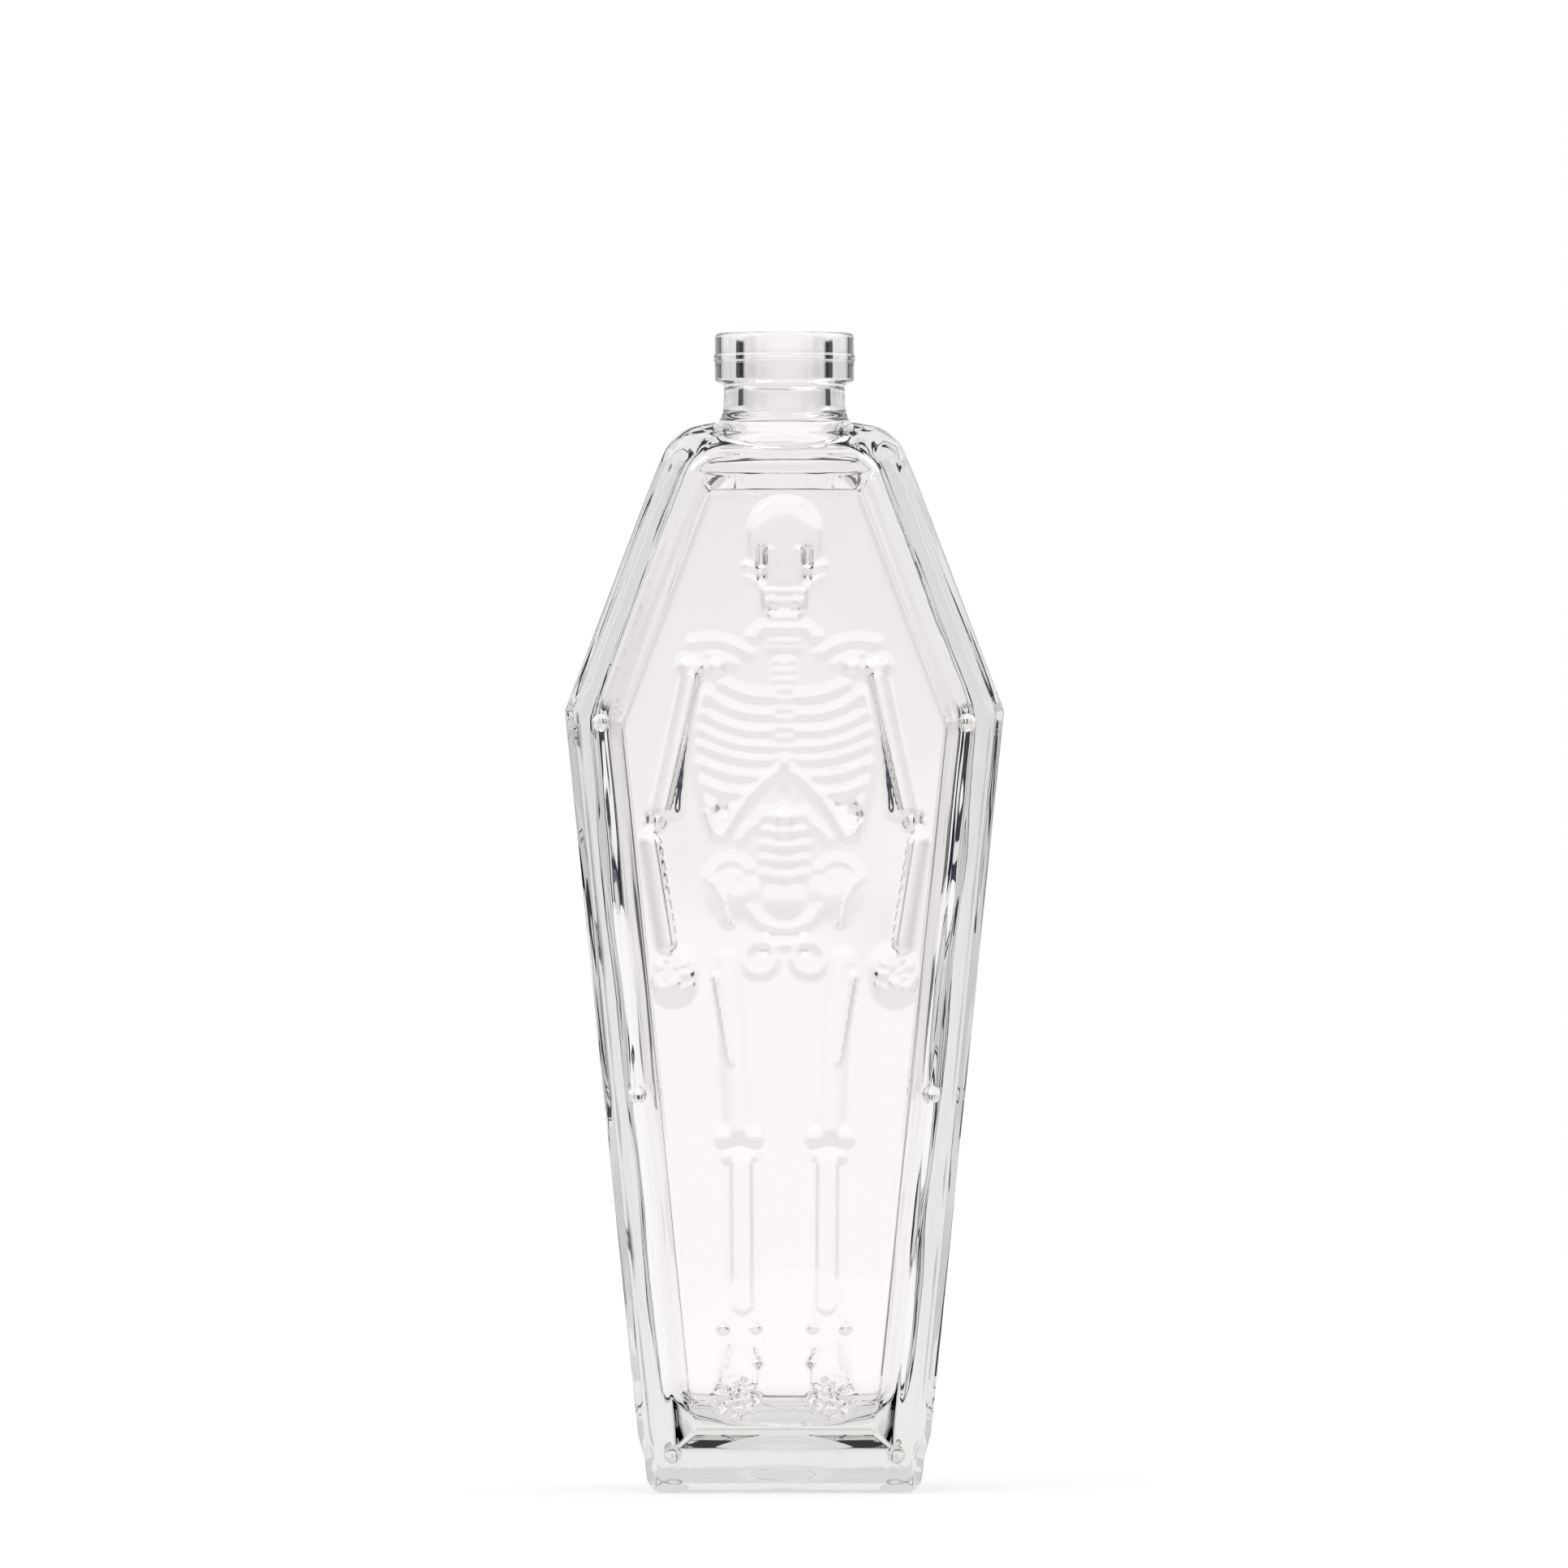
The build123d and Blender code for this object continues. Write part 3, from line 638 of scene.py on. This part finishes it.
# The bore up to the mouth: radius and height.
BORE = (
    (11.1, 236.6),
    (10.55, 237.0),
    (10.1, 237.45),
    (9.75, 238.0),
    (9.5, 238.6),
    (9.34, 239.3),
    (9.27, 240.1),
    (9.25, 241.2),
    (9.25, 243.0),
    (9.25, 247.0),
    (9.25, 251.0),
    (9.25, 254.7),
    (9.33, 255.2),
    (9.55, 255.6),
    (9.95, 255.9),
    (10.45, 256.0),
    (11.2, 256.6),
    (11.2, 258.0),
)


# How many vertices a ring of the cavity has, and how much closer they lie in its corners.
CAVITY_COUNT = 128
CORNER_CROWDING = 0.15
# Height of the first plain ring of the cavity, from one to the next, and how many there are.
CAVITY_START = 25.0
CAVITY_STEP = 2.5
CAVITY_RINGS = 79
# How far the front and back pull in at most at the top and the bottom, and how much rounder the
# corners get for each millimetre.
MOST_DEPTH_PULL = 5.2
CORNER_GROWTH = 1.5
# The share of the turn that a flat side takes, as its stretch past the corner.
FLAT_STRETCH = 1.42
# The sides' bulge: how much it varies, and how close its variation lies round and along.
BULGE_VARIATION = 0.9
BULGE_SCALE = (3, 0, 0.025)
BULGE_SHIFT = (0, 7, 0)
# The blown inside's waves end here. Scales and shifts of the long, the short and the front and
# back ones, and their heights as shares of the long one's.
WAVE_TOP = 228.0
LONG_WAVE = (0.02, 0.03, 0.035)
SHORT_WAVE = (0.02, 0.26, 0.022)
SHORT_WAVE_SHIFT = (5, 0, 0)
SHORT_WAVE_SHARE = 0.8
DEPTH_WAVE = (0.04, 0.03, 0.03)
DEPTH_WAVE_SHIFT = (0, 9, 0)
DEPTH_WAVE_SHARE = 0.5


def section_point(angle, left, right, depth, softer, height, sizes):
    """A point of the cavity's section: bulging sides, and wider at the back than at the front."""
    cos, sin = math.cos(angle), math.sin(angle)
    half = right if cos >= 0 else left
    radius = softer + (sizes.front_corner if sin < 0 else sizes.back_corner) / MM
    radius = min(radius, half, depth)
    depth_share = min(1.0, abs(sin) * FLAT_STRETCH)
    half += sizes.back_widening / MM * 0.5 * math.copysign(depth_share, sin)
    swell = 1.0 + BULGE_VARIATION * wave_at((cos, 0, height), BULGE_SCALE, BULGE_SHIFT)
    bulge = sizes.side_bulge / MM * swell * (1 - depth_share**2)
    across = min(1.0, abs(cos) * FLAT_STRETCH) * half
    back = depth_share * depth
    inner = Vector((half - radius, depth - radius))
    over = Vector((across - inner.x, back - inner.y))
    if over.x > 0 and over.y > 0:
        over = over.normalized() * radius
        across, back = inner.x + over.x, inner.y + over.y
    across += bulge * across / half
    return Vector((math.copysign(across, cos), math.copysign(back, sin)))


def cavity_mesh(sizes):
    """The inside of the bottle, as a closed form to be taken out of the glass."""
    bm = bmesh.new()
    turns = [2 * math.pi * (index + 0.5) / CAVITY_COUNT for index in range(CAVITY_COUNT)]
    angles = [turn + CORNER_CROWDING * math.sin(4 * turn) for turn in turns]
    heights = [CAVITY_START + CAVITY_STEP * step for step in range(CAVITY_RINGS)]
    rings = [(height, pull, 0.0, 0.0) for height, pull in CAVITY_BOTTOM]
    rings += [(height, 0.0, 0.0, 0.0) for height in heights]
    rings += [(height, pull, 0.0, 0.0) for height, pull in CAVITY_TOP]
    rings += [(height, CAVITY_TOP[-1][1], radius, turned) for height, radius, turned in THROAT]
    places = []
    for height, pull, radius, turned in rings:
        left, right, depth = cavity_section(min(height, CAVITY_TOP[-1][0]), sizes)
        pulled = (left - pull, right - pull, depth - min(pull, MOST_DEPTH_PULL), pull * CORNER_GROWTH)
        ring_places = []
        for angle in angles:
            point = section_point(angle, *pulled, height, sizes)
            circle = Vector((math.cos(angle), math.sin(angle))) * radius
            point = point.lerp(circle, turned)
            ring_places.append(Vector((point.x, point.y, height)))
        places.append(ring_places)
    for radius, height in BORE:
        places.append(
            [Vector((math.cos(angle) * radius, math.sin(angle) * radius, height)) for angle in angles]
        )
    index_layer = bm.verts.layers.int.new("index")
    made = bmesh.ops.create_circle(bm, cap_ends=True, segments=CAVITY_COUNT, radius=1)
    first = sorted(made["verts"], key=lambda vert: math.atan2(vert.co.y, vert.co.x) % (2 * math.pi))
    for index, vert in enumerate(first):
        vert[index_layer] = index
        vert.co = places[0][index]
    loop = border_edges(bm)
    for ring_places in places[1:]:
        verts, loop = extruded_ring(bm, loop)
        for vert in verts:
            vert.co = ring_places[vert[index_layer]]
    bmesh.ops.contextual_create(bm, geom=loop)
    wave = sizes.wave_height / MM
    for vert in bm.verts:
        if vert.co.z < WAVE_TOP:
            place = tuple(vert.co)
            short_wave = SHORT_WAVE_SHARE * wave_at(place, SHORT_WAVE, SHORT_WAVE_SHIFT)
            vert.co.x += wave * (wave_at(place, LONG_WAVE) + short_wave)
            vert.co.y += DEPTH_WAVE_SHARE * wave * wave_at(place, DEPTH_WAVE, DEPTH_WAVE_SHIFT)
    bmesh.ops.recalc_face_normals(bm, faces=bm.faces)
    return bm


def neck_mesh():
    """The neck and its ring finish, spun from their profile."""
    bm = bmesh.new()
    verts = [bm.verts.new((radius, 0, height)) for radius, height in NECK_OUTSIDE]
    edges = [bm.edges.new(pair) for pair in zip(verts, verts[1:])]
    bmesh.ops.spin(
        bm,
        geom=verts + edges,
        cent=(0, 0, 0),
        axis=(0, 0, 1),
        angle=2 * math.pi,
        steps=NECK_STEPS,
        use_merge=True,
    )
    bmesh.ops.remove_doubles(bm, verts=bm.verts, dist=DOUBLE)
    around, upward = DOT_STEPS
    dot = bmesh.ops.create_uvsphere(bm, u_segments=around, v_segments=upward, radius=1)["verts"]
    flattened = Matrix.Translation(DOT_PLACE) @ Matrix.Diagonal((1, DOT_DEPTH, 1, 1))
    bmesh.ops.transform(bm, verts=dot, matrix=flattened)
    bmesh.ops.recalc_face_normals(bm, faces=bm.faces)
    return bm


def stud_mesh():
    """The nail heads of the front and the back."""
    bm = bmesh.new()
    around, upward = STUD_STEPS
    for across, height in STUD_PLACES:
        for side in (-1, 1):
            for face in (-1, 1):
                bmesh.ops.create_uvsphere(
                    bm,
                    u_segments=around,
                    v_segments=upward,
                    radius=STUD_RADIUS,
                    matrix=Matrix.Translation((side * across, face * STUD_CENTRE_DEPTH, height)),
                )
    return bm


def object_from(bm, name):
    """A new object in metres from a mesh in millimetres."""
    bmesh.ops.scale(bm, vec=(MM, MM, MM), verts=bm.verts)
    mesh = bpy.data.meshes.new(name)
    bm.to_mesh(mesh)
    bm.free()
    made = bpy.data.objects.new(name, mesh)
    bpy.context.scene.collection.objects.link(made)
    return made


def joined_with(body, tool, operation):
    """The body joined with a tool, or the tool taken out of it."""
    step = body.modifiers.new(operation.lower(), "BOOLEAN")
    step.operation = operation
    step.solver = "EXACT"
    step.object = tool
    graph = bpy.context.evaluated_depsgraph_get()
    mesh = bpy.data.meshes.new_from_object(body.evaluated_get(graph))
    body.modifiers.remove(step)
    old = body.data
    body.data = mesh
    bpy.data.meshes.remove(old)
    bpy.data.objects.remove(tool)


def linear(code):
    """An sRGB hex colour as linear red, green and blue."""
    channels = [int(code[index : index + 2], 16) / 255 for index in (1, 3, 5)]
    return [c / 12.92 if c <= 0.04045 else ((c + 0.055) / 1.055) ** 2.4 for c in channels]


def add_node(tree, kind, settings=(), inputs=(), links=()):
    """A node with its settings, input values and incoming links."""
    node = tree.nodes.new(kind)
    for name, value in dict(settings).items():
        setattr(node, name, value)
    for name, value in dict(inputs).items():
        node.inputs[name].default_value = value
    for name, socket in dict(links).items():
        tree.links.new(socket, node.inputs[name])
    return node


# Refractive index of soda-lime glass.
GLASS_INDEX = 1.52


def flint_glass(sizes):
    """Soda-lime flint glass, pressed in a mould and fire-polished."""
    # Clear and mirror-smooth, with crisp dark lines at its inner corners and edges. Thick glass is
    # faintly grey-green.
    material = bpy.data.materials.new("flint_glass")
    material.use_nodes = True
    tree = material.node_tree
    tree.nodes.clear()
    surface = add_node(
        tree,
        "ShaderNodeBsdfPrincipled",
        inputs={
            "Base Color": (*linear(sizes.glass_colour), 1),
            "Roughness": 0.0,
            "IOR": GLASS_INDEX,
            "Transmission Weight": 1.0,
        },
    )
    depth = add_node(
        tree,
        "ShaderNodeVolumeAbsorption",
        inputs={"Color": (*linear(sizes.glass_depth_colour), 1), "Density": sizes.glass_density},
    )
    add_node(
        tree,
        "ShaderNodeOutputMaterial",
        links={"Surface": surface.outputs[0], "Volume": depth.outputs[0]},
    )
    return material


class BottleSizes(bpy.types.PropertyGroup):
    """Sizes of the glass."""

    grid_pitch: bpy.props.FloatProperty(
        name="Relief grid", description="Spacing of the relief's grid", default=0.00045, unit="LENGTH"
    )
    relief_share: bpy.props.FloatProperty(
        name="Relief height",
        description="Height of the relief against the solids",
        default=0.9,
        subtype="FACTOR",
    )
    softening: bpy.props.IntProperty(
        name="Relief softening", description="Rounds of smoothing of the relief", default=5
    )
    left_wall: bpy.props.FloatProperty(
        name="Left wall", description="Thickness of the left side wall", default=0.0061, unit="LENGTH"
    )
    right_wall: bpy.props.FloatProperty(
        name="Right wall", description="Thickness of the right side wall", default=0.0067, unit="LENGTH"
    )
    front_corner: bpy.props.FloatProperty(
        name="Front corner",
        description="Radius of the cavity's long front corners",
        default=0.0022,
        unit="LENGTH",
    )
    back_corner: bpy.props.FloatProperty(
        name="Back corner",
        description="Radius of the cavity's long back corners",
        default=0.0035,
        unit="LENGTH",
    )
    back_widening: bpy.props.FloatProperty(
        name="Widening",
        description="How much wider each side of the cavity is at the back",
        default=0.0008,
        unit="LENGTH",
    )
    side_bulge: bpy.props.FloatProperty(
        name="Side bulge",
        description="How far the cavity's sides swell outwards",
        default=0.0014,
        unit="LENGTH",
    )
    wave_height: bpy.props.FloatProperty(
        name="Waves", description="Unevenness of the blown inside", default=0.0006, unit="LENGTH"
    )
    glass_colour: bpy.props.StringProperty(
        name="Glass colour",
        description="What one pass through a surface leaves of white, as sRGB hex",
        default="#FFFDFD",
    )
    glass_depth_colour: bpy.props.StringProperty(
        name="Depth colour",
        description="Colour that thick glass takes, as sRGB hex",
        default="#CFD2CD",
    )
    glass_density: bpy.props.FloatProperty(
        name="Depth density", description="How fast the glass takes its colour, per metre", default=12.5
    )


class StudioSizes(bpy.types.PropertyGroup):
    """Camera, backdrop and lamps."""

    camera_distance: bpy.props.FloatProperty(
        name="Camera distance", description="From the bottle's middle", default=3.2, unit="LENGTH"
    )
    frame_width: bpy.props.FloatProperty(
        name="Frame width", description="Width that the photograph spans", default=0.34776, unit="LENGTH"
    )
    backdrop_colour: bpy.props.StringProperty(
        name="Backdrop", description="Colour of the backdrop, as sRGB hex", default="#FFFFFF"
    )
    dark_colour: bpy.props.StringProperty(
        name="Dark sides",
        description="Colour of the unlit studio at both sides, as sRGB hex",
        default="#1E1C28",
    )
    paper_colour: bpy.props.StringProperty(
        name="Paper", description="Colour of the floor's paper, as sRGB hex", default="#A0A0A0"
    )
    paper_glow: bpy.props.FloatProperty(
        name="Paper glow", description="Light that comes up through the paper", default=0.66
    )


class BOTTLE_OT_glass(bpy.types.Operator):
    """Build the bottle's glass with its relief"""

    bl_idname = "bottle.glass"
    bl_label = "Glass"

    def execute(self, context):
        sizes = context.scene.bottle_sizes
        body = object_from(body_mesh(sizes), "bottle_glass")
        joined_with(body, object_from(stud_mesh(), "studs"), "UNION")
        joined_with(body, object_from(neck_mesh(), "neck"), "UNION")
        joined_with(body, object_from(cavity_mesh(sizes), "cavity"), "DIFFERENCE")
        body.data.materials.clear()
        body.data.materials.append(flint_glass(sizes))
        for polygon in body.data.polygons:
            polygon.use_smooth = True
            polygon.material_index = 0
        body.data.set_sharp_from_angle(angle=SHARP_ANGLE)
        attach(body, "root")
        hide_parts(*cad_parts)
        return {"FINISHED"}


class BOTTLE_OT_studio(bpy.types.Operator):
    """Set up the floor, the backdrop, the lamps and the camera"""

    bl_idname = "bottle.studio"
    bl_label = "Studio"

    def execute(self, context):
        sizes = context.scene.studio_sizes
        scene = context.scene
        scene.view_settings.view_transform = "Standard"
        add_floor(sizes)
        add_backdrop(scene, sizes)
        for name, place, power in LAMPS:
            add_lamp(name, place, power)
        add_camera(scene, sizes)
        return {"FINISHED"}


# Soft lamps: name, place and power in watts, and for both the side of their square and the point
# that they light.
LAMPS = (("key_lamp", (-0.9, -0.6, 1.5), 6.0), ("fill_lamp", (1.1, 0.5, 1.4), 4.0))
LAMP_WIDTH = 1.2
LAMP_AIM = (0, 0, 0.12)

# The round floor: its radius, its steps round, and how far it lies under the base, so that the
# two don't flicker.
FLOOR_RADIUS = 1.2
FLOOR_STEPS = 64
FLOOR_DROP = 0.0002

# The photograph in pixels: its width, its middle and the base line, counted from the top, and how
# far the bottle's middle lies to the right of the photograph's.
PHOTO_WIDTH = 1932
PHOTO_MIDDLE = 966
BASE_LINE = 1833
MIDDLE_OFFSET = 0.5
# The camera's sensor in millimetres, and how far it sees.
SENSOR_WIDTH = 36
SIGHT = 50

# Light of the backdrop, as a share of its strongest, by height of the direction: 0 is straight
# down, 0.5 level and 1 straight up.
HEIGHT_LIGHT = (
    (0.0, 0.9),
    (0.3, 0.95),
    (0.4, 1.0),
    (0.493, 1.0),
    (0.5, 0.915),
    (0.507, 0.88),
    (0.54, 0.83),
    (0.6, 0.86),
    (1.0, 0.96),
)
# Where the unlit studio lies: by how far the direction points sideways, and by its height.
DARK_SIDEWAYS = (
    (0.0, 0.0),
    (0.2, 0.0),
    (0.4, 0.16),
    (0.72, 0.16),
    (0.745, 1.0),
    (0.978, 1.0),
    (0.988, 0.0),
)
DARK_HEIGHT = ((0.0, 0.0), (0.42, 0.0), (0.44, 1.0), (0.57, 1.0), (0.62, 0.0))


def add_floor(sizes):
    """A pale floor that keeps the bottle's shadow."""
    bm = bmesh.new()
    bmesh.ops.create_circle(bm, cap_ends=True, segments=FLOOR_STEPS, radius=FLOOR_RADIUS)
    mesh = bpy.data.meshes.new("floor")
    bm.to_mesh(mesh)
    bm.free()
    floor = bpy.data.objects.new("floor", mesh)
    floor.location.z = -FLOOR_DROP
    bpy.context.scene.collection.objects.link(floor)
    # Matt white paper, lit through from below: an even white that keeps the soft shadow.
    material = bpy.data.materials.new("white_paper")
    material.use_nodes = True
    tree = material.node_tree
    tree.nodes.clear()
    white = (*linear(sizes.backdrop_colour), 1)
    paper = add_node(tree, "ShaderNodeBsdfDiffuse", inputs={"Color": (*linear(sizes.paper_colour), 1)})
    glow = add_node(tree, "ShaderNodeEmission", inputs={"Color": white, "Strength": sizes.paper_glow})
    both = add_node(tree, "ShaderNodeAddShader", links={0: paper.outputs[0], 1: glow.outputs[0]})
    add_node(tree, "ShaderNodeOutputMaterial", links={"Surface": both.outputs[0]})
    floor.data.materials.append(material)


def add_backdrop(scene, sizes):
    """A white backdrop before and behind the bottle, with the unlit studio at both sides."""
    world = bpy.data.worlds.new("studio")
    scene.world = world
    world.use_nodes = True
    tree = world.node_tree
    tree.nodes.clear()
    place = add_node(tree, "ShaderNodeTexCoord")
    parts = add_node(tree, "ShaderNodeSeparateXYZ", links={"Vector": place.outputs["Generated"]})
    half_height = add_node(
        tree, "ShaderNodeMath", {"operation": "MULTIPLY_ADD"}, {1: 0.5, 2: 0.5}, {0: parts.outputs["Z"]}
    )
    sideways = add_node(tree, "ShaderNodeMath", {"operation": "ABSOLUTE"}, links={0: parts.outputs["X"]})
    shares = (half_height, sideways, half_height)
    ramps = []
    for share, steps in zip(shares, (HEIGHT_LIGHT, DARK_SIDEWAYS, DARK_HEIGHT)):
        ramp = add_node(tree, "ShaderNodeValToRGB", links={"Fac": share.outputs[0]})
        set_steps(ramp.color_ramp.elements, steps)
        ramps.append(ramp.outputs["Color"])
    level, dark_sideways, dark_height = ramps
    unlit = add_node(
        tree, "ShaderNodeMath", {"operation": "MULTIPLY"}, links={0: dark_sideways, 1: dark_height}
    )
    dark = (*linear(sizes.dark_colour), 1)
    both = add_node(
        tree,
        "ShaderNodeMixRGB",
        inputs={"Color2": dark},
        links={"Fac": unlit.outputs[0], "Color1": level},
    )
    lit = add_node(tree, "ShaderNodeBackground", inputs={"Strength": 1.0}, links={"Color": both.outputs[0]})
    white = (*linear(sizes.backdrop_colour), 1)
    plain = add_node(tree, "ShaderNodeBackground", inputs={"Color": white, "Strength": 1.0})
    seen = add_node(tree, "ShaderNodeLightPath")
    mixed = add_node(
        tree,
        "ShaderNodeMixShader",
        links={0: seen.outputs["Is Camera Ray"], 1: lit.outputs[0], 2: plain.outputs[0]},
    )
    add_node(tree, "ShaderNodeOutputWorld", links={"Surface": mixed.outputs[0]})


def set_steps(elements, steps):
    """Gives a colour ramp its steps of position and lightness."""
    while len(elements) < len(steps):
        elements.new(0.5)
    for element, (position, light) in zip(elements, steps):
        element.position = position
        element.color = (light, light, light, 1)


def add_lamp(name, place, power):
    """A soft square lamp aimed at the bottle."""
    lamp = bpy.data.lights.new(name, "AREA")
    lamp.energy = power
    lamp.size = LAMP_WIDTH
    made = bpy.data.objects.new(name, lamp)
    made.location = place
    aim = Vector(LAMP_AIM) - Vector(place)
    made.rotation_euler = aim.to_track_quat("-Z", "Y").to_euler()
    bpy.context.scene.collection.objects.link(made)


def add_camera(scene, sizes):
    """A level camera with a long lens, as far off as the photograph's straight lines say."""
    camera = bpy.data.cameras.new("camera")
    camera.sensor_width = SENSOR_WIDTH
    camera.lens = SENSOR_WIDTH * sizes.camera_distance / sizes.frame_width
    camera.clip_end = SIGHT
    made = bpy.data.objects.new("camera", camera)
    across = -MIDDLE_OFFSET / PHOTO_WIDTH * sizes.frame_width
    height = (BASE_LINE - PHOTO_MIDDLE) / PHOTO_WIDTH * sizes.frame_width
    made.location = (across, -sizes.camera_distance, height)
    made.rotation_euler = (math.pi / 2, 0, 0)
    scene.collection.objects.link(made)
    scene.camera = made


class BOTTLE_PT_panel(bpy.types.Panel):
    """The bottle's pieces"""

    bl_label = "Coffin bottle"
    bl_idname = "BOTTLE_PT_panel"
    bl_space_type = "VIEW_3D"
    bl_region_type = "UI"
    bl_category = "Bottle"

    def draw(self, context):
        layout = self.layout
        for sizes in (context.scene.bottle_sizes, context.scene.studio_sizes):
            for name in sizes.__annotations__:
                layout.prop(sizes, name)
        layout.operator("bottle.glass")
        layout.operator("bottle.studio")


CLASSES = (BottleSizes, StudioSizes, BOTTLE_OT_glass, BOTTLE_OT_studio, BOTTLE_PT_panel)


def register():
    for item in CLASSES:
        bpy.utils.register_class(item)
    bpy.types.Scene.bottle_sizes = bpy.props.PointerProperty(type=BottleSizes)
    bpy.types.Scene.studio_sizes = bpy.props.PointerProperty(type=StudioSizes)


def unregister():
    del bpy.types.Scene.studio_sizes
    del bpy.types.Scene.bottle_sizes
    for item in reversed(CLASSES):
        bpy.utils.unregister_class(item)


def main():
    register()
    bpy.ops.bottle.glass()
    bpy.ops.bottle.studio()


if __name__ == "__main__":
    main()
